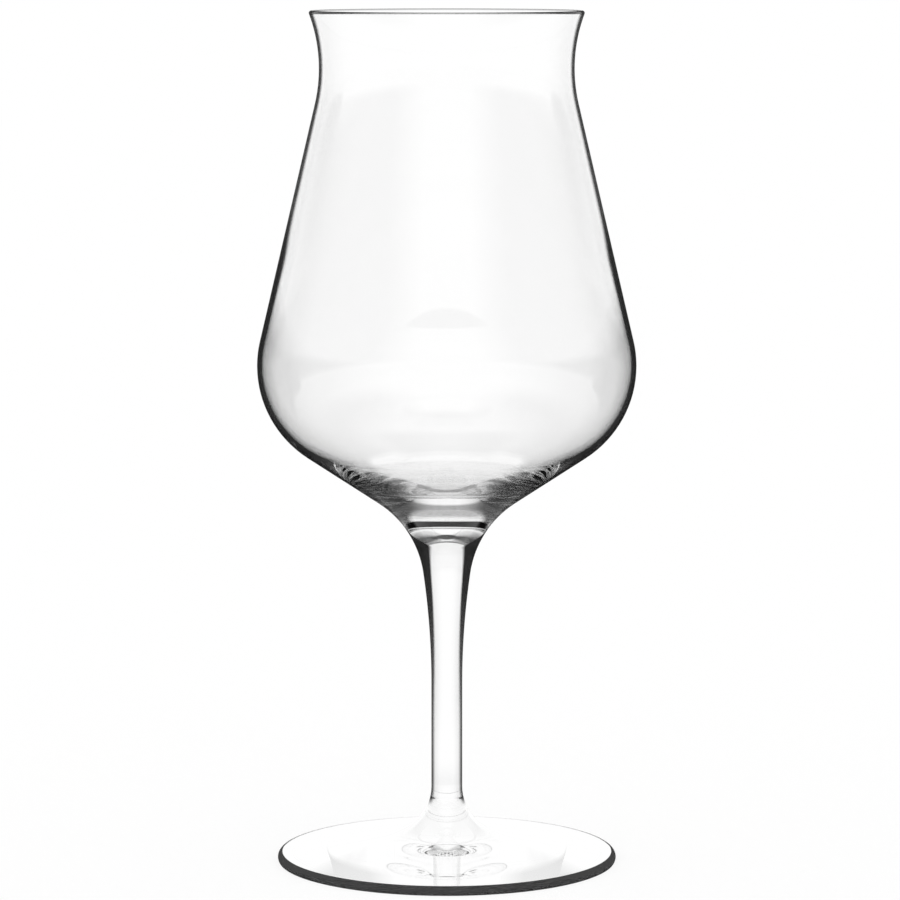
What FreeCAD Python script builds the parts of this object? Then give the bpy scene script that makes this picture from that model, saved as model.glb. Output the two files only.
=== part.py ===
import FreeCAD, Part
import Sketcher
import math
import os

# A stemmed beer glass, drawn from one gob of clear glass: a thin tulip bowl with a flared lip,
# a solid stem that grows out of the bowl's thick bottom, and a round pressed foot.
# Z is up along the glass's axis. The origin is in the middle of the foot, on the table.

NODE = "glass"

# Driving sizes, in millimetres and degrees.
SIZES = {
    # foot
    "foot_diameter": 78.0,
    "foot_edge": 1.9,            # height of the sloping top, carried out to the full diameter
    "foot_edge_round": 1.3,      # radius of the bulging edge
    "foot_slope": 8.4,           # rise of the foot's top towards the stem
    "foot_hollow": 0.9,          # how far the underside is hollowed in the middle
    "foot_land": 3.5,            # from the full diameter in to where the hollow starts
    "foot_flare": 11.5,          # radius of the hollow curve from foot to stem
    # stem
    "stem_diameter": 7.1,
    "stem_even": 24.1,           # length of the even stretch above the flare
    "stem_swell": 178.5,         # radius of the long curve by which the stem widens
    "swell_length": 25.6,        # height of that curve
    "throat_curve": 23.7,        # radius of the turn from stem to bowl
    # outside of the bowl
    "bottom_slope": 33.4,        # rise of the bottom cone from level
    "belly_diameter": 86.4,
    "belly_curve": 24.6,         # radius of the outline at the belly
    "flank_height": 67.6,        # from the belly up to the neck
    "neck_in": 2.2,              # how far the neck draws in from the lip
    "rim_diameter": 62.2,        # across the outside of the lip, where its rounding starts
    "lip_height": 12.2,          # from the neck up to where the lip's rounding starts
    # wall and inside
    "wall": 1.1,
    "belly_thickening": 0.45,    # how much tighter the inside curves at the belly
    "shoulder_slope": 33.0,      # where the inside leaves the belly's curve
    "shoulder_curve": 80.0,      # radius by which it eases into the inner cone
    "inner_slope": 31.1,         # rise of the inner cone, flatter than the bottom cone
    "floor_round": 5.0,          # radius of the turn from inner cone to floor
    "floor_curve": 185.0,        # radius of the nearly flat floor
    "floor_diameter": 40.4,      # across the lower end of the inner cone
}

# Derived sizes that more than one constraint needs.
LIP_CURVE = "((sizes.lip_height ^ 2 + sizes.neck_in ^ 2) / (2 * sizes.neck_in))"
INNER_BELLY_CURVE = "(sizes.belly_curve - sizes.wall - sizes.belly_thickening)"

ORIGIN = (-1, 1)                 # a sketch's own origin point
LEVEL, UPRIGHT = -1, -2          # its horizontal and vertical axes
START, END, CENTRE = 1, 2, 3     # the points of a line or an arc


def add_sheet(document):
    """Put every driving size in a sheet, one named cell each."""
    sheet = document.addObject("Spreadsheet::Sheet", "sizes")
    for row, (name, value) in enumerate(SIZES.items(), start=1):
        sheet.set(f"A{row}", name)
        sheet.set(f"B{row}", str(value))
        sheet.setAlias(f"B{row}", name)
    document.recompute()
    return sheet


def direction(angle):
    """A step of length one at an angle in radians."""
    return FreeCAD.Vector(math.cos(angle), math.sin(angle), 0)


def crossing_tangent(low, low_radius, high, high_radius):
    """Angle from the low circle's centre to where a line touches it, on the right,
    before it crosses over and touches the high circle on the left."""
    between = high - low
    reach = math.acos((low_radius + high_radius) / between.Length)
    return math.atan2(between.y, between.x) - reach


def down_slope(high, x, slope):
    """The point at x on the line that rises at a slope to a high point."""
    return FreeCAD.Vector(x, high.y - (high.x - x) * math.tan(slope), 0)


def section_points(size):
    """Corners, tangent points and centres of the half section, x from the axis and y up."""
    at = {}
    point = FreeCAD.Vector
    level = 0
    upright = math.pi / 2
    foot_radius = size["foot_diameter"] / 2
    stem_radius = size["stem_diameter"] / 2
    belly_radius = size["belly_diameter"] / 2
    wall = size["wall"]
    foot_slope = math.radians(size["foot_slope"])
    bottom_slope = math.radians(size["bottom_slope"])

    # Underside: a shallow hollow inside the flat ring, then the bulging edge.
    bulge = size["foot_edge_round"]
    edge_x = foot_radius - bulge
    edge_y = size["foot_edge"] + bulge * (math.tan(foot_slope) - 1 / math.cos(foot_slope))
    at["hollow_top"] = point(0, size["foot_hollow"], 0)
    at["land_inside"] = point(foot_radius - size["foot_land"], 0, 0)
    at["land_outside"] = point(edge_x + math.sqrt(bulge ** 2 - edge_y ** 2), 0, 0)
    at["edge_centre"] = point(edge_x, edge_y, 0)
    at["edge_top"] = at["edge_centre"] + direction(upright - foot_slope) * bulge

    # Foot's sloping top, touching the flare that turns it up into the stem.
    flare = size["foot_flare"]
    flare_x = stem_radius + flare
    flare_y = (size["foot_edge"] + (foot_radius - flare_x) * math.tan(foot_slope)
               + flare / math.cos(foot_slope))
    at["flare_centre"] = point(flare_x, flare_y, 0)
    at["flare_low"] = at["flare_centre"] + direction(-upright - foot_slope) * flare
    at["flare_high"] = point(stem_radius, flare_y, 0)

    # Stem: even, then a long swell, then the throat that turns into the bottom cone.
    swell = size["stem_swell"]
    throat = size["throat_curve"]
    turn = math.asin(size["swell_length"] / swell)
    at["stem_top"] = at["flare_high"] + direction(upright) * size["stem_even"]
    at["swell_centre"] = at["stem_top"] + direction(level) * swell
    at["swell_end"] = at["swell_centre"] - direction(-turn) * swell
    at["throat_centre"] = at["swell_end"] + direction(-turn) * throat
    at["throat_end"] = at["throat_centre"] + direction(bottom_slope + upright) * throat

    # Outside of the bowl: bottom cone, belly, straight flank and lip.
    belly_curve = size["belly_curve"]
    belly_x = belly_radius - belly_curve
    low_x = belly_x + belly_curve * math.sin(bottom_slope)
    at["belly_low"] = down_slope(at["throat_end"], low_x, bottom_slope)
    at["belly_centre"] = at["belly_low"] + direction(bottom_slope + upright) * belly_curve
    belly_y = at["belly_centre"].y
    lip_curve = (size["lip_height"] ** 2 + size["neck_in"] ** 2) / (2 * size["neck_in"])
    neck_radius = size["rim_diameter"] / 2 - size["neck_in"]
    at["lip_centre"] = point(neck_radius + lip_curve, belly_y + size["flank_height"], 0)
    flank = crossing_tangent(at["belly_centre"], belly_curve, at["lip_centre"], lip_curve)
    lip_end = math.pi - math.asin(size["lip_height"] / lip_curve)
    at["belly_side"] = at["belly_centre"] + direction(level) * belly_curve
    at["belly_high"] = at["belly_centre"] + direction(flank) * belly_curve
    at["lip_low"] = at["lip_centre"] + direction(flank + math.pi) * lip_curve
    at["rim_outside"] = at["lip_centre"] + direction(lip_end) * lip_curve
    at["rim_centre"] = at["lip_centre"] + direction(lip_end) * (lip_curve + wall / 2)
    at["rim_inside"] = at["lip_centre"] + direction(lip_end) * (lip_curve + wall)
    at["rim_top"] = at["rim_centre"] + direction(upright) * (wall / 2)

    # Inside of the belly, a wall's thickness away.
    inner_curve = belly_curve - wall - size["belly_thickening"]
    at["inner_belly_centre"] = point(belly_radius - wall - inner_curve, belly_y, 0)
    inner_flank = crossing_tangent(
        at["inner_belly_centre"], inner_curve, at["lip_centre"], lip_curve + wall)
    leaving = math.radians(size["shoulder_slope"]) - upright
    at["inner_lip_low"] = at["lip_centre"] + direction(inner_flank + math.pi) * (lip_curve + wall)
    at["inner_high"] = at["inner_belly_centre"] + direction(inner_flank) * inner_curve
    at["inner_side"] = at["inner_belly_centre"] + direction(level) * inner_curve
    at["inner_low"] = at["inner_belly_centre"] + direction(leaving) * inner_curve

    # Shoulder, inner cone, and the round that turns it into the nearly flat floor.
    shoulder = size["shoulder_curve"]
    inner_slope = math.radians(size["inner_slope"])
    floor_round = size["floor_round"]
    floor_curve = size["floor_curve"]
    at["shoulder_centre"] = at["inner_low"] - direction(leaving) * shoulder
    at["shoulder_end"] = at["shoulder_centre"] + direction(inner_slope - upright) * shoulder
    at["inner_cone_low"] = down_slope(at["shoulder_end"], size["floor_diameter"] / 2, inner_slope)
    at["round_centre"] = at["inner_cone_low"] + direction(inner_slope + upright) * floor_round
    lean = math.asin(at["round_centre"].x / (floor_curve - floor_round)) - upright
    at["floor_centre"] = at["round_centre"] - direction(lean) * (floor_curve - floor_round)
    at["floor_edge"] = at["floor_centre"] + direction(lean) * floor_curve
    at["floor"] = at["floor_centre"] - direction(upright) * floor_curve
    return at


def add_line(sketch, start, end):
    """A straight edge between two points."""
    return sketch.addGeometry(Part.LineSegment(start, end), False)


def add_arc(sketch, centre, start, end):
    """An arc that runs counter-clockwise from start to end."""
    def angle(to):
        return math.atan2(to.y - centre.y, to.x - centre.x)
    circle = Part.Circle(centre, FreeCAD.Vector(0, 0, 1), (start - centre).Length)
    return sketch.addGeometry(Part.ArcOfCircle(circle, angle(start), angle(end)), False)


def bind(sketch, name, constraint, expression):
    """Add a constraint under a name and tie its value to the sheet."""
    index = sketch.addConstraint(constraint)
    sketch.renameConstraint(index, name)
    sketch.setExpression(f"Constraints.{name}", expression)


def bind_gap(sketch, name, axis, start, end, expression):
    """Tie the distance between two points, along X or Y, to the sheet."""
    gap = sketch.getPoint(*end) - sketch.getPoint(*start)
    value = gap.x if axis == "DistanceX" else gap.y
    bind(sketch, name, Sketcher.Constraint(axis, *start, *end, value), expression)


def bind_radius(sketch, name, arc, expression):
    """Tie an arc's radius to the sheet."""
    bind(sketch, name, Sketcher.Constraint("Radius", arc, sketch.Geometry[arc].Radius), expression)


def bind_slope(sketch, name, line, expression):
    """Tie a line's angle from level to the sheet."""
    edge = sketch.Geometry[line]
    run = edge.EndPoint - edge.StartPoint
    bind(sketch, name, Sketcher.Constraint("Angle", line, math.atan2(run.y, run.x)), expression)


def join(sketch, kind, *pairs):
    """Make each pair of points meet, as a corner (Coincident) or smoothly (Tangent)."""
    for first, second in pairs:
        sketch.addConstraint(Sketcher.Constraint(kind, *first, *second))


def draw_section(body):
    """The half section, as one closed outline to the right of the axis."""
    plane = next(item for item in body.Origin.OriginFeatures if item.Role == "XZ_Plane")
    sketch = body.newObject("Sketcher::SketchObject", "half_section")
    sketch.AttachmentSupport = [(plane, "")]
    sketch.MapMode = "FlatFace"
    at = section_points(SIZES)

    # Underside, foot and stem.
    hollow = add_line(sketch, at["hollow_top"], at["land_inside"])
    land = add_line(sketch, at["land_inside"], at["land_outside"])
    edge = add_arc(sketch, at["edge_centre"], at["land_outside"], at["edge_top"])
    top = add_line(sketch, at["flare_low"], at["edge_top"])
    flare = add_arc(sketch, at["flare_centre"], at["flare_high"], at["flare_low"])
    stem = add_line(sketch, at["flare_high"], at["stem_top"])
    swell = add_arc(sketch, at["swell_centre"], at["swell_end"], at["stem_top"])
    throat = add_arc(sketch, at["throat_centre"], at["throat_end"], at["swell_end"])

    # Outside of the bowl; the belly is in two arcs that meet at the widest place.
    cone = add_line(sketch, at["throat_end"], at["belly_low"])
    belly = add_arc(sketch, at["belly_centre"], at["belly_low"], at["belly_side"])
    upper_belly = add_arc(sketch, at["belly_centre"], at["belly_side"], at["belly_high"])
    flank = add_line(sketch, at["belly_high"], at["lip_low"])
    lip = add_arc(sketch, at["lip_centre"], at["rim_outside"], at["lip_low"])

    # Rounded rim, in two arcs that meet at its crown.
    rim = add_arc(sketch, at["rim_centre"], at["rim_outside"], at["rim_top"])
    inner_rim = add_arc(sketch, at["rim_centre"], at["rim_top"], at["rim_inside"])

    # Inside, down to the floor, and the axis.
    inner_lip = add_arc(sketch, at["lip_centre"], at["rim_inside"], at["inner_lip_low"])
    inner_flank = add_line(sketch, at["inner_lip_low"], at["inner_high"])
    upper_inner = add_arc(sketch, at["inner_belly_centre"], at["inner_side"], at["inner_high"])
    inner_belly = add_arc(sketch, at["inner_belly_centre"], at["inner_low"], at["inner_side"])
    shoulder = add_arc(sketch, at["shoulder_centre"], at["shoulder_end"], at["inner_low"])
    inner_cone = add_line(sketch, at["inner_cone_low"], at["shoulder_end"])
    floor_round = add_arc(sketch, at["round_centre"], at["floor_edge"], at["inner_cone_low"])
    floor = add_arc(sketch, at["floor_centre"], at["floor"], at["floor_edge"])
    axis = add_line(sketch, at["floor"], at["hollow_top"])

    # Corners, and arcs that carry on round the same centre.
    join(sketch, "Coincident",
         ((axis, END), (hollow, START)),
         ((hollow, END), (land, START)),
         ((land, END), (edge, START)),
         ((floor, START), (axis, START)),
         ((belly, END), (upper_belly, START)),
         ((belly, CENTRE), (upper_belly, CENTRE)),
         ((rim, END), (inner_rim, START)),
         ((rim, CENTRE), (inner_rim, CENTRE)),
         ((lip, CENTRE), (inner_lip, CENTRE)),
         ((inner_belly, END), (upper_inner, START)),
         ((inner_belly, CENTRE), (upper_inner, CENTRE)))

    # Smooth joints.
    join(sketch, "Tangent",
         ((edge, END), (top, END)),
         ((top, START), (flare, END)),
         ((flare, START), (stem, START)),
         ((stem, END), (swell, END)),
         ((swell, START), (throat, END)),
         ((throat, START), (cone, START)),
         ((cone, END), (belly, START)),
         ((upper_belly, END), (flank, START)),
         ((flank, END), (lip, END)),
         ((lip, START), (rim, START)),
         ((inner_rim, END), (inner_lip, START)),
         ((inner_lip, END), (inner_flank, START)),
         ((inner_flank, END), (upper_inner, END)),
         ((inner_belly, START), (shoulder, END)),
         ((shoulder, START), (inner_cone, END)),
         ((inner_cone, START), (floor_round, END)),
         ((floor_round, START), (floor, END)))

    # Level, upright and on the axes.
    join(sketch, "Horizontal",
         ((belly, CENTRE), (belly, END)),
         ((belly, CENTRE), (inner_belly, CENTRE)),
         ((inner_belly, CENTRE), (inner_belly, END)))
    join(sketch, "Vertical", ((rim, CENTRE), (rim, END)))
    sketch.addConstraint(Sketcher.Constraint("Vertical", stem))
    sketch.addConstraint(Sketcher.Constraint("Vertical", axis))
    sketch.addConstraint(Sketcher.Constraint("Horizontal", land))
    sketch.addConstraint(Sketcher.Constraint("PointOnObject", land, END, LEVEL))
    sketch.addConstraint(Sketcher.Constraint("PointOnObject", hollow, START, UPRIGHT))
    sketch.addConstraint(Sketcher.Constraint("PointOnObject", floor, CENTRE, UPRIGHT))

    # Sizes of the foot and stem.
    bind_gap(sketch, "hollow_height", "DistanceY", ORIGIN, (hollow, START), "sizes.foot_hollow")
    bind_gap(sketch, "land_inside", "DistanceX", ORIGIN, (land, START),
             "sizes.foot_diameter / 2 - sizes.foot_land")
    bind_radius(sketch, "edge_round", edge, "sizes.foot_edge_round")
    bind_gap(sketch, "edge_centre", "DistanceX", ORIGIN, (edge, CENTRE),
             "sizes.foot_diameter / 2 - sizes.foot_edge_round")
    bind_gap(sketch, "edge_level", "DistanceY", ORIGIN, (edge, CENTRE),
             "sizes.foot_edge + sizes.foot_edge_round"
             " * (tan(sizes.foot_slope) - 1 / cos(sizes.foot_slope))")
    bind_slope(sketch, "top_slope", top, "-sizes.foot_slope")
    bind_radius(sketch, "flare_curve", flare, "sizes.foot_flare")
    bind_gap(sketch, "stem_radius", "DistanceX", ORIGIN, (stem, START), "sizes.stem_diameter / 2")
    bind_gap(sketch, "stem_length", "DistanceY", (stem, START), (stem, END), "sizes.stem_even")
    bind_radius(sketch, "swell_curve", swell, "sizes.stem_swell")
    bind_gap(sketch, "swell_length", "DistanceY", (stem, END), (swell, START), "sizes.swell_length")
    bind_radius(sketch, "throat_curve", throat, "sizes.throat_curve")

    # Sizes of the bowl's outside.
    bind_slope(sketch, "cone_slope", cone, "sizes.bottom_slope")
    bind_radius(sketch, "belly_curve", belly, "sizes.belly_curve")
    bind_gap(sketch, "belly_centre", "DistanceX", ORIGIN, (belly, CENTRE),
             "sizes.belly_diameter / 2 - sizes.belly_curve")
    bind_radius(sketch, "lip_curve", lip, LIP_CURVE)
    bind_gap(sketch, "lip_centre", "DistanceX", ORIGIN, (lip, CENTRE),
             f"sizes.rim_diameter / 2 - sizes.neck_in + {LIP_CURVE}")
    bind_gap(sketch, "neck_height", "DistanceY", (belly, CENTRE), (lip, CENTRE), "sizes.flank_height")
    bind_gap(sketch, "lip_height", "DistanceY", (lip, CENTRE), (lip, START), "sizes.lip_height")

    # Sizes of the bowl's inside.
    bind_radius(sketch, "inner_lip_curve", inner_lip, f"{LIP_CURVE} + sizes.wall")
    bind_radius(sketch, "inner_belly_curve", inner_belly, INNER_BELLY_CURVE)
    bind_gap(sketch, "inner_belly_centre", "DistanceX", ORIGIN, (inner_belly, CENTRE),
             f"sizes.belly_diameter / 2 - sizes.wall - {INNER_BELLY_CURVE}")
    bind_gap(sketch, "shoulder_start", "DistanceX", (inner_belly, CENTRE), (inner_belly, START),
             f"{INNER_BELLY_CURVE} * sin(sizes.shoulder_slope)")
    bind_radius(sketch, "shoulder_curve", shoulder, "sizes.shoulder_curve")
    bind_slope(sketch, "inner_cone_slope", inner_cone, "sizes.inner_slope")
    bind_radius(sketch, "floor_round", floor_round, "sizes.floor_round")
    bind_radius(sketch, "floor_curve", floor, "sizes.floor_curve")
    bind_gap(sketch, "floor_width", "DistanceX", ORIGIN, (inner_cone, START),
             "sizes.floor_diameter / 2")
    return sketch


def add_glass(document):
    """The glass: its half section turned once round."""
    body = document.addObject("PartDesign::Body", NODE)
    body.Label = NODE
    sketch = draw_section(body)
    document.recompute()
    turned = body.newObject("PartDesign::Revolution", "turned_form")
    turned.Profile = (sketch, [""])
    turned.ReferenceAxis = (sketch, ["V_Axis"])
    turned.Angle = 360
    body.Tip = turned
    document.recompute()
    return body, sketch


def check(document, body, sketch):
    """Stop if anything failed, or if the outline isn't held by its sizes."""
    for item in document.Objects:
        if "Invalid" in item.State or "Error" in item.State:
            raise RuntimeError(f"{item.Label} failed: {item.State}")
    if sketch.solve() != 0 or not sketch.FullyConstrained:
        raise RuntimeError("the half section isn't held by its sizes")
    if body.Shape.isNull() or not body.Shape.isValid() or len(body.Shape.Solids) != 1:
        raise RuntimeError("the glass isn't one valid solid")


document = FreeCAD.newDocument("beer_glass")
add_sheet(document)
glass, half_section = add_glass(document)
check(document, glass, half_section)

os.makedirs("parts", exist_ok=True)
glass.Shape.exportStep(f"parts/{NODE}.step")

box = glass.Shape.optimalBoundingBox(False)
volume = glass.Shape.Volume / 1000
print(f"{NODE}: {box.ZMax:.2f} mm high, {box.XLength:.2f} mm wide, {volume:.1f} ml of glass")
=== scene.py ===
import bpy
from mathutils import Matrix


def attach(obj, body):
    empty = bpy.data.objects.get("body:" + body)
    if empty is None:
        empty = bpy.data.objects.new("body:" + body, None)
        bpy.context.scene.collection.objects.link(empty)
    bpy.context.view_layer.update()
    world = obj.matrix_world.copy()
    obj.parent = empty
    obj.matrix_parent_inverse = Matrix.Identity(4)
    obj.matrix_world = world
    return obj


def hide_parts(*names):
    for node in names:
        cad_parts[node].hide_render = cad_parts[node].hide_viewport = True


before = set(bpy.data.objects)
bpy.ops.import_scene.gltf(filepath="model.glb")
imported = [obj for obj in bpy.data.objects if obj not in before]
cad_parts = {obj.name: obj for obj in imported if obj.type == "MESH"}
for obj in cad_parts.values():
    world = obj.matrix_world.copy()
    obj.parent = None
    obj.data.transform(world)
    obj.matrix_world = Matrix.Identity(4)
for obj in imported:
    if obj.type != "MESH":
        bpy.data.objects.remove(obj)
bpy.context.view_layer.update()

import math

import bpy
from mathutils import Vector

# A stemmed beer glass on a white table in a white room.
# Metres and degrees. Z runs up the glass's axis, and the foot stands on z = 0.
print("frame loaded")


# The glass's half section: its outside from under the foot up to the rim, then its inside down to the
# bowl's floor.
glassSizes = {
    "footRadius": 0.039,
    "footEdge": 0.0019,             # height of the sloping top, carried out to the full width
    "footEdgeRound": 0.0013,        # radius of the bulging edge
    "footSlope": 8.4,
    "footHollow": 0.0009,           # how high the underside is hollowed
    "footLand": 0.0035,             # width of the flat ring that it stands on
    "footFlare": 0.0115,            # radius of the curve from the foot into the stem
    "stemRadius": 0.00355,
    "stemEven": 0.0241,             # height over which the stem stays even
    "stemSwell": 0.1785,            # radius of the long curve by which the stem widens
    "swellLength": 0.0256,
    "throatCurve": 0.0237,          # radius of the short curve from the stem into the bowl
    "bottomSlope": 33.4,
    "bellyRadius": 0.0432,
    "bellyCurve": 0.0246,
    "flankHeight": 0.0676,          # from the belly up to the neck
    "neckIn": 0.0022,               # how much narrower than the rim the neck is, each side
    "rimRadius": 0.0311,
    "lipHeight": 0.0122,            # from the neck up to the rim
    "wall": 0.0011,
    "bellyThickening": 0.00045,
    "shoulderSlope": 33.0,          # inside, the slope at which the belly's round ends
    "shoulderCurve": 0.08,
    "innerSlope": 31.1,
    "floorRound": 0.005,
    "floorCurve": 0.185,            # radius of the nearly flat floor
    "floorRadius": 0.0202,          # where the inner cone ends and the rounding starts
    "stepsPerSpan": 16,
    "stepsRound": 256,
    "axisRing": 1e-6,               # radius of the ring round which the section is turned
    "mergeWithin": 5e-6,            # closes the two poles that the ring leaves open
}


def step(angle):
    return Vector((math.cos(angle), math.sin(angle)))


def lineSpan(start, end):
    third = (end - start) / 3
    return [start, start + third, end - third, end]


def arcSpan(centre, start, end):
    # the shorter way round, as one Bezier span
    a, b = start - centre, end - centre
    swing = math.atan2(a.x * b.y - a.y * b.x, a.dot(b))
    pull = 4 / 3 * math.tan(swing / 4)
    return [start, start + pull * Vector((-a.y, a.x)), end - pull * Vector((-b.y, b.x)), end]


def crossingTangent(low, lowRadius, high, highRadius):
    # angle at which a line leaves the low circle and goes over to the far side of the high one
    between = high - low
    return math.atan2(between.y, between.x) - math.acos((lowRadius + highRadius) / between.length)


def downSlope(high, x, slope):
    return Vector((x, high.y - (high.x - x) * math.tan(slope)))


def footAndStem(s):
    upright = math.pi / 2
    slope, bottomSlope = math.radians(s["footSlope"]), math.radians(s["bottomSlope"])
    bulge, flare = s["footEdgeRound"], s["footFlare"]
    hollowTop = Vector((0, s["footHollow"]))
    landInside = Vector((s["footRadius"] - s["footLand"], 0))
    edgeCentre = Vector((s["footRadius"] - bulge,
                         s["footEdge"] + bulge * (math.tan(slope) - 1 / math.cos(slope))))
    landOutside = Vector((edgeCentre.x + math.sqrt(bulge ** 2 - edgeCentre.y ** 2), 0))
    edgeTop = edgeCentre + bulge * step(upright - slope)
    flareX = s["stemRadius"] + flare
    flareCentre = Vector((flareX, s["footEdge"] + (s["footRadius"] - flareX) * math.tan(slope)
                          + flare / math.cos(slope)))
    flareLow = flareCentre + flare * step(-upright - slope)
    flareHigh = Vector((s["stemRadius"], flareCentre.y))
    stemTop = flareHigh + Vector((0, s["stemEven"]))
    turn = math.asin(s["swellLength"] / s["stemSwell"])
    swellCentre = stemTop + Vector((s["stemSwell"], 0))
    swellEnd = swellCentre - s["stemSwell"] * step(-turn)
    throatCentre = swellEnd + s["throatCurve"] * step(-turn)
    throatEnd = throatCentre + s["throatCurve"] * step(bottomSlope + upright)
    return [
        lineSpan(hollowTop, landInside),
        lineSpan(landInside, landOutside),
        arcSpan(edgeCentre, landOutside, edgeTop),
        lineSpan(edgeTop, flareLow),
        arcSpan(flareCentre, flareLow, flareHigh),
        lineSpan(flareHigh, stemTop),
        arcSpan(swellCentre, stemTop, swellEnd),
        arcSpan(throatCentre, swellEnd, throatEnd),
    ]


def bowl(s, throatEnd):
    upright = math.pi / 2
    bottomSlope, innerSlope = math.radians(s["bottomSlope"]), math.radians(s["innerSlope"])
    wall, curve = s["wall"], s["bellyCurve"]
    bellyX = s["bellyRadius"] - curve
    bellyLow = downSlope(throatEnd, bellyX + curve * math.sin(bottomSlope), bottomSlope)
    belly = bellyLow + curve * step(bottomSlope + upright)
    lipCurve = (s["lipHeight"] ** 2 + s["neckIn"] ** 2) / (2 * s["neckIn"])
    lip = Vector((s["rimRadius"] - s["neckIn"] + lipCurve, belly.y + s["flankHeight"]))
    flank = crossingTangent(belly, curve, lip, lipCurve)
    lipEnd = math.pi - math.asin(s["lipHeight"] / lipCurve)
    bellySide = belly + Vector((curve, 0))
    bellyHigh = belly + curve * step(flank)
    lipLow = lip - lipCurve * step(flank)
    rimOutside = lip + lipCurve * step(lipEnd)
    rim = lip + (lipCurve + wall / 2) * step(lipEnd)
    rimTop = rim + Vector((0, wall / 2))
    rimInside = lip + (lipCurve + wall) * step(lipEnd)

    # inside: the belly eases into a flatter cone, then rounds into a nearly flat floor
    innerCurve = curve - wall - s["bellyThickening"]
    inner = Vector((s["bellyRadius"] - wall - innerCurve, belly.y))
    innerFlank = crossingTangent(inner, innerCurve, lip, lipCurve + wall)
    innerLipLow = lip - (lipCurve + wall) * step(innerFlank)
    innerHigh = inner + innerCurve * step(innerFlank)
    innerSide = inner + Vector((innerCurve, 0))
    leaving = math.radians(s["shoulderSlope"]) - upright
    innerLow = inner + innerCurve * step(leaving)
    shoulder = innerLow - s["shoulderCurve"] * step(leaving)
    shoulderEnd = shoulder + s["shoulderCurve"] * step(innerSlope - upright)
    coneLow = downSlope(shoulderEnd, s["floorRadius"], innerSlope)
    turning = coneLow + s["floorRound"] * step(innerSlope + upright)
    reach = s["floorCurve"] - s["floorRound"]
    lean = math.asin(turning.x / reach) - upright
    floorCentre = turning - reach * step(lean)
    floorEdge = floorCentre + s["floorCurve"] * step(lean)
    floor = floorCentre - Vector((0, s["floorCurve"]))
    return [
        lineSpan(throatEnd, bellyLow),
        arcSpan(belly, bellyLow, bellySide),
        arcSpan(belly, bellySide, bellyHigh),
        lineSpan(bellyHigh, lipLow),
        arcSpan(lip, lipLow, rimOutside),
        arcSpan(rim, rimOutside, rimTop),
        arcSpan(rim, rimTop, rimInside),
        arcSpan(lip, rimInside, innerLipLow),
        lineSpan(innerLipLow, innerHigh),
        arcSpan(inner, innerHigh, innerSide),
        arcSpan(inner, innerSide, innerLow),
        arcSpan(shoulder, innerLow, shoulderEnd),
        lineSpan(shoulderEnd, coneLow),
        arcSpan(turning, coneLow, floorEdge),
        arcSpan(floorCentre, floorEdge, floor),
    ]


def newObject(name, data):
    made = bpy.data.objects.new(name, data)
    bpy.context.scene.collection.objects.link(made)
    return made


def sectionCurve(name, spans):
    curve = bpy.data.curves.new(name, "CURVE")
    curve.dimensions = "3D"
    spline = curve.splines.new("BEZIER")
    spline.bezier_points.add(len(spans))
    stops = [span[0] for span in spans] + [spans[-1][3]]
    lefts = [stops[0]] + [span[2] for span in spans]
    rights = [span[1] for span in spans] + [stops[-1]]
    for knot, stop, left, right in zip(spline.bezier_points, stops, lefts, rights):
        knot.handle_left_type = knot.handle_right_type = "FREE"
        knot.co = stop.to_3d()
        knot.handle_left = left.to_3d()
        knot.handle_right = right.to_3d()
    return newObject(name, curve)


# Node trees are written as expressions: a Signal is one output, and a Graph adds the nodes.
class Signal:
    def __init__(self, graph, socket):
        self.graph = graph
        self.socket = socket

    def __add__(self, other):
        return self.graph.maths("ADD", self, other)

    def __radd__(self, other):
        return self.graph.maths("ADD", other, self)

    def __sub__(self, other):
        return self.graph.maths("SUBTRACT", self, other)

    def __rsub__(self, other):
        return self.graph.maths("SUBTRACT", other, self)

    def __mul__(self, other):
        return self.graph.maths("MULTIPLY", self, other)

    def __rmul__(self, other):
        return self.graph.maths("MULTIPLY", other, self)

    def __truediv__(self, other):
        return self.graph.maths("DIVIDE", self, other)

    def __rtruediv__(self, other):
        return self.graph.maths("DIVIDE", other, self)

    def __pow__(self, other):
        return self.graph.maths("POWER", self, other)

    def __rpow__(self, other):
        return self.graph.maths("POWER", other, self)

    def __gt__(self, other):
        return self.graph.maths("GREATER_THAN", self, other)

    def __lt__(self, other):
        return self.graph.maths("LESS_THAN", self, other)


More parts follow.
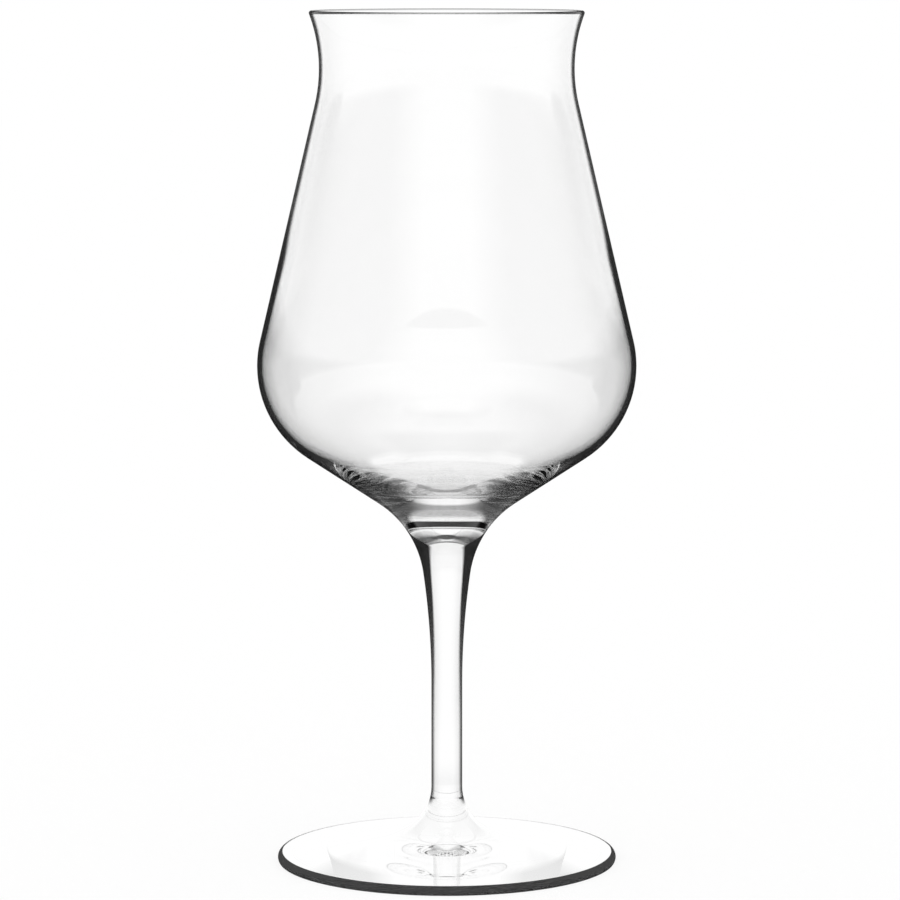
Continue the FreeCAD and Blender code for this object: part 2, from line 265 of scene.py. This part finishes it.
class Graph:
    def __init__(self, tree):
        self.tree = tree

    def node(self, kind, settings=None, inputs=None, output=0):
        # any node: its settings first, then its sockets' values or links; gives one output
        made = self.tree.nodes.new(kind)
        for name, value in (settings or {}).items():
            setattr(made, name, value)
        for name, value in (inputs or {}).items():
            self.feed(made.inputs[name], value)
        return Signal(self, made.outputs[output])

    def feed(self, socket, value):
        if isinstance(value, Signal):
            self.tree.links.new(value.socket, socket)
        else:
            socket.default_value = value

    def maths(self, operation, *values):
        return self.node("ShaderNodeMath", {"operation": operation}, dict(enumerate(values)))

    def larger(self, one, other):
        return self.maths("MAXIMUM", one, other)

    def between(self, value, low, high, start=0.0, end=1.0):
        # eases from start to end while the value goes from low to high
        return self.node("ShaderNodeMapRange", {"interpolation_type": "SMOOTHSTEP"},
                         {"Value": value, "From Min": low, "From Max": high,
                          "To Min": start, "To Max": end}, "Result")

    def band(self, value, low, lowFull, highFull, high):
        # rises from low to lowFull and falls again from highFull to high
        return self.between(value, low, lowFull) * (1 - self.between(value, highFull, high))

    def parts(self, vector):
        split = self.node("ShaderNodeSeparateXYZ", None, {"Vector": vector}).socket.node
        return [Signal(self, split.outputs[axis]) for axis in "XYZ"]

    def light(self, question):
        return self.node("ShaderNodeLightPath", output=question)

    def turnedBack(self):
        # 1 for light that has been mirrored, once or more, between here and the eye
        return self.light("Glossy Depth") > 0.5

    def mixColour(self, share, first, second):
        # 6, 7 and 2 are the Mix node's colour sockets
        return self.node("ShaderNodeMix", {"data_type": "RGBA"}, {0: share, 6: first, 7: second}, 2)

    def mixShader(self, share, first, second):
        return self.node("ShaderNodeMixShader", None, {0: share, 1: first, 2: second})

    def cover(self, surface):
        self.feed(self.tree.nodes["Material Output"].inputs["Surface"], surface)


white = (1.0, 1.0, 1.0, 1.0)
black = (0.0, 0.0, 0.0, 1.0)


def grey(tone):
    return (tone, tone, tone, 1.0)


def newMaterial(name):
    material = bpy.data.materials.new(name)
    material.use_nodes = True
    return material, Graph(material.node_tree)


# The glass is painted with shade where it is seen aslant: a dark edge and a faint grey. How aslant goes
# from 0, seen straight on, to 1, seen edge on.
# A pair named Start or End says how aslant the painted dark edge starts or is full, at the low height
# and at the high one of the pair named Heights.
glassLook = {
    "index": 1.5,                   # how strongly the glass bends light
    "shine": 0.02,                  # little mirroring where the glass is seen straight on
    "shade": 0.02,                  # grey of a fully painted dark edge
    "bowlSoft": (0.35, 0.8, 0.12),  # the bowl's faint painted shade: from and to how aslant, and how much
    "bowlHeights": (0.1, 0.14),     # the bowl's painted dark edge
    "bowlStart": (0.8, 0.72),
    "bowlEnd": (0.88, 0.82),
    "bowlClear": 0.05,              # share of light that the painted dark edge lets by
    "stemTop": (0.0735, 0.077),     # the solid stem gives way to the bowl between these heights
    "stemSoft": (0.08, 0.3, 0.2),   # the stem's faint painted shade, as the bowl's
    "stemHeights": (0.03, 0.068),   # the stem's painted dark edge
    "stemStart": (0.3, 0.25),
    "stemEnd": (0.62, 0.33),
    "stemClear": (0.12, 0.01),      # at the low height and at the high one
    "aboveFoot": (0.0125, 0.0145),  # the stem's painted shade shows only above these heights
    "throat": (0.0765, 0.078, 0.083, 0.088),        # no painted dark edge here, fading at both ends
    "bottomEdge": (0.56, 0.64, 0.75),               # painted dark edge on the solid bottom: from, to, how much
    "bottomHeights": (0.078, 0.08, 0.0895, 0.0925),
    "footRimRadius": 0.0379,        # the foot's bulging edge is painted dark, as shade, outside this radius
    "footRimHeight": 0.00205,       # and below this height
    "footRimClear": 0.04,
    "lip": (0.1945, 0.1949, 0.5),   # the lip is painted darker, as shade, from the first height to the second, and how much
}

frosting = {
    "radius": 0.0069,               # on the bowl's floor, where the bubbles start
    "ringGap": 0.00115,
    "dotRadius": 0.00042,
    "dotFull": 0.7,                 # share of that radius from which a dot starts to fade
    "dotsPerRing": 6,               # as many more in each ring outwards
    "depth": 0.001,                 # what is this near the height of the floor's middle counts as floor
    "ground": 0.3,
    "dots": 0.6,
    "aslant": (0.9, 0.7),           # clear when seen as aslant as the first, frosted from the second on
}


def frostedRoughness(g, x, y, z, floorHeight):
    f = frosting
    radius = (x * x + y * y) ** 0.5
    ring = radius / f["ringGap"]
    count = (g.maths("FLOOR", ring) + 1) * f["dotsPerRing"]
    across = (g.maths("FRACT", ring) - 0.5) * f["ringGap"]      # a dot's middle is half way
    turn = g.maths("ARCTAN2", y, x) / math.tau + 0.5
    along = (g.maths("FRACT", turn * count) - 0.5) * math.tau * radius / count
    dot = g.between((across * across + along * along) ** 0.5,
                    f["dotRadius"] * f["dotFull"], f["dotRadius"], 1.0, 0.0)
    onFloor = (radius < f["radius"]) * (z > floorHeight - f["depth"]) * (z < floorHeight + f["depth"])
    return onFloor * (f["ground"] + (f["dots"] - f["ground"]) * dot)


# painted shade: a faint grey in the glass's colour where it is seen aslant
def paintedSoftShade(g, look, z, slant, onBowl, aboveFoot):
    bowlFrom, bowlFull, bowlMost = look["bowlSoft"]
    stemFrom, stemFull, stemMost = look["stemSoft"]
    return g.between(slant, bowlFrom, bowlFull) * onBowl * bowlMost + \
        g.between(slant, stemFrom, stemFull) * (1 - onBowl) * stemMost * aboveFoot


# painted shade: how much of the dark matt shader is mixed in, on edges seen aslant, on the lip and on
# the foot's rim
def paintedDarkEdges(g, look, x, y, z, slant, onBowl, aboveFoot):
    bowlStart, bowlEnd = [g.between(z, *look["bowlHeights"], *look[key])
                          for key in ("bowlStart", "bowlEnd")]
    stemStart, stemEnd, stemClear = [g.between(z, *look["stemHeights"], *look[key])
                                     for key in ("stemStart", "stemEnd", "stemClear")]
    start = stemStart + onBowl * (bowlStart - stemStart)
    end = stemEnd + onBowl * (bowlEnd - stemEnd)
    clear = stemClear + onBowl * (look["bowlClear"] - stemClear)
    normal = g.parts(g.node("ShaderNodeTexCoord", output="Normal"))
    outside = (x * normal[0] + y * normal[1]) > 0               # not the bowl's inside
    edge = g.between(slant, start, end) * aboveFoot * outside * (1 - g.band(z, *look["throat"]))
    bottomFrom, bottomFull, bottomMost = look["bottomEdge"]
    bottom = g.between(slant, bottomFrom, bottomFull) * bottomMost * outside * \
        g.band(z, *look["bottomHeights"])
    # painted shade: the glass darker above the first lip height
    lipFrom, lipFull, lipMost = look["lip"]
    lip = g.between(z, lipFrom, lipFull) * lipMost
    entering = 1 - g.node("ShaderNodeNewGeometry", output="Backfacing")
    # painted shade: a dark band round the foot's bulging edge
    footRim = ((x * x + y * y) ** 0.5 > look["footRimRadius"]) * (z < look["footRimHeight"])
    return g.larger(g.larger(g.larger(edge * (1 - clear), bottom), lip) * entering,
                    footRim * (1 - look["footRimClear"]))


def clearGlass(floorHeight):
    look = glassLook
    material, g = newMaterial("clearGlass")
    clear = g.tree.nodes["Principled BSDF"]
    clear.inputs["IOR"].default_value = look["index"]
    clear.inputs["Specular IOR Level"].default_value = look["shine"]
    clear.inputs["Transmission Weight"].default_value = 1.0
    x, y, z = g.parts(g.node("ShaderNodeTexCoord", output="Object"))
    slant = g.node("ShaderNodeLayerWeight", None, {"Blend": 0.5}, "Facing")     # 0.5 gives 1 - cosine
    onBowl = g.between(z, *look["stemTop"])
    aboveFoot = g.between(z, *look["aboveFoot"])
    # the glass's colour carries painted shade, a faint grey where seen aslant
    g.feed(clear.inputs["Base Color"],
           g.mixColour(paintedSoftShade(g, look, z, slant, onBowl, aboveFoot), white, black))
    g.feed(clear.inputs["Roughness"],
           frostedRoughness(g, x, y, z, floorHeight) * g.between(slant, *frosting["aslant"]))
    # dark matt shader that paints the shade on the glass
    dark = g.node("ShaderNodeBsdfPrincipled", None,
                  {"Base Color": grey(look["shade"]), "Roughness": 1.0, "Specular IOR Level": 0.0})
    # the painted shade is left out of light that the glass has turned back
    paintedShade = paintedDarkEdges(g, look, x, y, z, slant, onBowl, aboveFoot) * (1 - g.turnedBack())
    g.cover(g.mixShader(paintedShade, Signal(g, clear.outputs[0]), dark))
    return material


def turningTree(sizes):
    tree = bpy.data.node_groups.new("turnedForm", "GeometryNodeTree")
    socket = tree.interface.new_socket
    socket("Geometry", in_out="INPUT", socket_type="NodeSocketGeometry")
    named = {
        "stepsPerSpan": socket("Steps per span", in_out="INPUT",
                               socket_type="NodeSocketInt").identifier,
        "stepsRound": socket("Steps round", in_out="INPUT", socket_type="NodeSocketInt").identifier,
        "finish": socket("Finish", in_out="INPUT", socket_type="NodeSocketMaterial").identifier,
    }
    socket("Geometry", in_out="OUTPUT", socket_type="NodeSocketGeometry")
    g = Graph(tree)
    source = tree.nodes.new("NodeGroupInput").outputs
    given = {name: Signal(g, source[name])
             for name in ("Geometry", "Steps per span", "Steps round", "Finish")}
    section = g.node("GeometryNodeSetSplineResolution", None,
                     {"Geometry": given["Geometry"], "Resolution": given["Steps per span"]})
    axis = g.node("GeometryNodeCurvePrimitiveCircle", {"mode": "RADIUS"},
                  {"Resolution": given["Steps round"], "Radius": sizes["axisRing"]})
    turned = g.node("GeometryNodeCurveToMesh", None, {"Curve": axis, "Profile Curve": section})
    # the section comes out of the sweep upside down
    upright = g.node("GeometryNodeTransform", None, {"Geometry": turned, "Rotation": (math.pi, 0, 0)})
    closed = g.node("GeometryNodeMergeByDistance", None,
                    {"Geometry": upright, "Distance": sizes["mergeWithin"]})
    smooth = g.node("GeometryNodeSetShadeSmooth", None, {"Geometry": closed})
    real = g.node("GeometryNodeRealizeInstances", None, {"Geometry": smooth})
    dressed = g.node("GeometryNodeSetMaterial", None, {"Geometry": real, "Material": given["Finish"]})
    g.feed(tree.nodes.new("NodeGroupOutput").inputs["Geometry"], dressed)
    return tree, named


def turnGlass(sizes):
    spans = footAndStem(sizes)
    spans += bowl(sizes, spans[-1][3])
    blank = sectionCurve("glassSection", spans)
    tree, named = turningTree(sizes)
    modifier = blank.modifiers.new("turn", "NODES")
    modifier.node_group = tree
    modifier[named["stepsPerSpan"]] = sizes["stepsPerSpan"]
    modifier[named["stepsRound"]] = sizes["stepsRound"]
    modifier[named["finish"]] = clearGlass(spans[-1][3].y)
    evaluated = blank.evaluated_get(bpy.context.evaluated_depsgraph_get())
    mesh = bpy.data.meshes.new_from_object(evaluated)
    blank.modifiers.clear()
    bpy.data.objects.remove(blank)
    return newObject("beerGlass", mesh)


glass = turnGlass(glassSizes)
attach(glass, "root")
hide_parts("glass")
print("glass turned:", len(glass.data.polygons), "faces")


cameraSetting = {
    "lens": 168.88,
    "place": (0.00073, -0.9578, 0.2101),
    "down": 6.847,
    "near": 0.05,
    "far": 100,
}


def addCamera(setting):
    camera = newObject("camera", bpy.data.cameras.new("camera"))
    camera.data.lens = setting["lens"]
    camera.data.clip_start = setting["near"]
    camera.data.clip_end = setting["far"]
    camera.location = setting["place"]
    camera.rotation_euler = (math.radians(90 - setting["down"]), 0, 0)
    bpy.context.scene.camera = camera


addCamera(cameraSetting)
print("camera placed")


# The room is white all round. As for any picture of clear glass, dark flags stand round it, and the gap
# straight behind it acts as a white panel. Only light that the glass has turned back sees the flags.
roomLook = {
    "tableHalf": 4.0,               # half the table's side
    "shadow": 0.15,                 # how much of the glass's own shadow the table shows
    "dark": 0.03,                   # grey of the flags and of the painted dark patch on the table's front
    "frontRadii": (0.036, 0.044, 0.09, 0.12),   # turned light sees a painted dark patch on the table between these radii
    "frontTurn": (-0.4, -0.8),      # from the first to the second, where -1 is straight in front
    "flagStep": 5,                  # degrees between the points along a flag, at most
}

# Each flag: points up its sheet as (radius, height, how solid), and points along it as (angle from
# straight behind, how solid). The near ones slope outwards in line with the foot, which therefore
# hardly sees them.
flags = {
    "besideBowl": {                 # either side, for the dark sides of the solid bottom
        "rise": [(0.045, 0.020, 0), (0.046, 0.030, 1), (0.050, 0.0595, 1),
                 (0.105, 0.125, 1), (0.118, 0.140, 0)],
        "round": [(30, 0), (45, 1), (120, 1), (155, 0)],
    },
    "behindFloor": {                # low behind the bowl
        "rise": [(0.048, 0.056, 0), (0.051, 0.0595, 1), (0.086, 0.101, 1), (0.091, 0.107, 0)],
        "round": [(0, 0.65), (20, 0.7), (30, 1), (50, 1)],
    },
    "besidePanel": {                # above that one, and open straight behind
        "rise": [(0.088, 0.102, 0), (0.093, 0.108, 1), (0.121, 0.143, 1), (0.128, 0.151, 0)],
        "round": [(15, 0), (35, 0.9), (50, 1)],
    },
    "highSides": {                  # far away and high
        "rise": [(1.0, 0.72, 0), (1.0, 1.2, 1), (1.0, 8.0, 1)],
        "round": [(15, 0), (30, 0.35), (45, 0.4), (60, 0.6), (90, 1), (120, 1), (155, 0)],
    },
    "overhead": {                   # for the dark arch over the stem
        "rise": [(0.1, 0.45, 0), (0.1, 0.65, 1), (0.1, 9.0, 1)],
        "round": [(0, 1), (180, 1)],
    },
    "besideCollar": {               # low, where the stem flares into the foot
        "rise": [(0.028, 0.004, 0), (0.028, 0.006, 1), (0.028, 0.013, 1), (0.028, 0.016, 0)],
        "round": [(85, 0), (105, 1), (140, 1), (155, 0)],
    },
}

# Light turns many times inside the solid bottom and the stem.
bounces = {
    "max": 48,
    "glossy": 48,
    "transmission": 48,
    "transparent": 32,
}


def lightRoom():
    world = bpy.data.worlds.new("studio")
    bpy.context.scene.world = world
    world.use_nodes = True
    world.node_tree.nodes["Background"].inputs["Color"].default_value = white


def tableMaterial(look):
    # white to the eye and through glass, matt with the glass's shadow to a small share
    material, g = newMaterial("whiteTable")
    matt = g.tree.nodes["Principled BSDF"]
    matt.inputs["Base Color"].default_value = white
    matt.inputs["Roughness"].default_value = 1.0
    matt.inputs["Specular IOR Level"].default_value = 0.0
    x, y, z = g.parts(g.node("ShaderNodeNewGeometry", output="Position"))
    radius = (x * x + y * y) ** 0.5
    # painted dark reflection: a dark patch in front of the glass, seen only in light that the glass
    # turns back
    paintedDarkPatch = g.between(y / radius, *look["frontTurn"]) * g.band(radius, *look["frontRadii"]) * \
        g.turnedBack()
    glow = g.node("ShaderNodeEmission", None, {"Color": g.mixColour(paintedDarkPatch, white, grey(look["dark"]))})
    mirroredOrThrough = g.larger(g.light("Is Glossy Ray"), g.light("Is Transmission Ray"))
    seen = g.larger(g.light("Is Camera Ray") * (1 - look["shadow"]), mirroredOrThrough)
    g.cover(g.mixShader(seen, Signal(g, matt.outputs[0]), glow))
    return material


def layTable(look):
    half = look["tableHalf"]
    mesh = bpy.data.meshes.new("table")
    mesh.from_pydata([(-half, -half, 0), (half, -half, 0), (half, half, 0), (-half, half, 0)],
                     [], [(0, 1, 2, 3)])
    mesh.materials.append(tableMaterial(look))
    newObject("table", mesh)


def flagMaterial(tone):
    material, g = newMaterial("darkFlag")
    solid = g.node("ShaderNodeAttribute", {"attribute_name": "solid"}, None, "Fac")
    clear = g.node("ShaderNodeBsdfTransparent")
    cloth = g.node("ShaderNodeEmission", None, {"Color": grey(tone)})
    g.cover(g.mixShader(g.turnedBack() * solid, clear, cloth))
    return material


def stopsBetween(stops, finest):
    # (angle, how solid) pairs no further apart than the finest step
    angles = []
    for (low, lowSolid), (high, highSolid) in zip(stops, stops[1:]):
        steps = math.ceil((high - low) / finest)
        angles += [(low + (high - low) * n / steps, lowSolid + (highSolid - lowSolid) * n / steps)
                   for n in range(steps)]
    return angles + [stops[-1]]


def hangFlag(name, shape, material):
    # one curved sheet each side of straight behind
    angles = stopsBetween(shape["round"], roomLook["flagStep"])
    across = len(angles)
    points, solid, faces = [], [], []
    for side in (-1, 1):
        start = len(points)
        for radius, height, riseSolid in shape["rise"]:
            for angle, roundSolid in angles:
                turn = math.radians(angle)
                points.append((side * radius * math.sin(turn), radius * math.cos(turn), height))
                solid.append(riseSolid * roundSolid)
        for row in range(len(shape["rise"]) - 1):
            for column in range(across - 1):
                corner = start + row * across + column
                faces.append((corner, corner + 1, corner + across + 1, corner + across))
    mesh = bpy.data.meshes.new(name)
    mesh.from_pydata(points, [], faces)
    mesh.attributes.new("solid", "FLOAT", "POINT").data.foreach_set("value", solid)
    mesh.materials.append(material)
    newObject(name, mesh)


def setBounces(limits):
    cycles = bpy.context.scene.cycles
    cycles.max_bounces = limits["max"]
    cycles.glossy_bounces = limits["glossy"]
    cycles.transmission_bounces = limits["transmission"]
    cycles.transparent_max_bounces = limits["transparent"]


bpy.context.scene.view_settings.view_transform = "Standard"
setBounces(bounces)
lightRoom()
layTable(roomLook)
cloth = flagMaterial(roomLook["dark"])
for name, shape in flags.items():
    hangFlag(name, shape, cloth)
print("table laid and room lit")
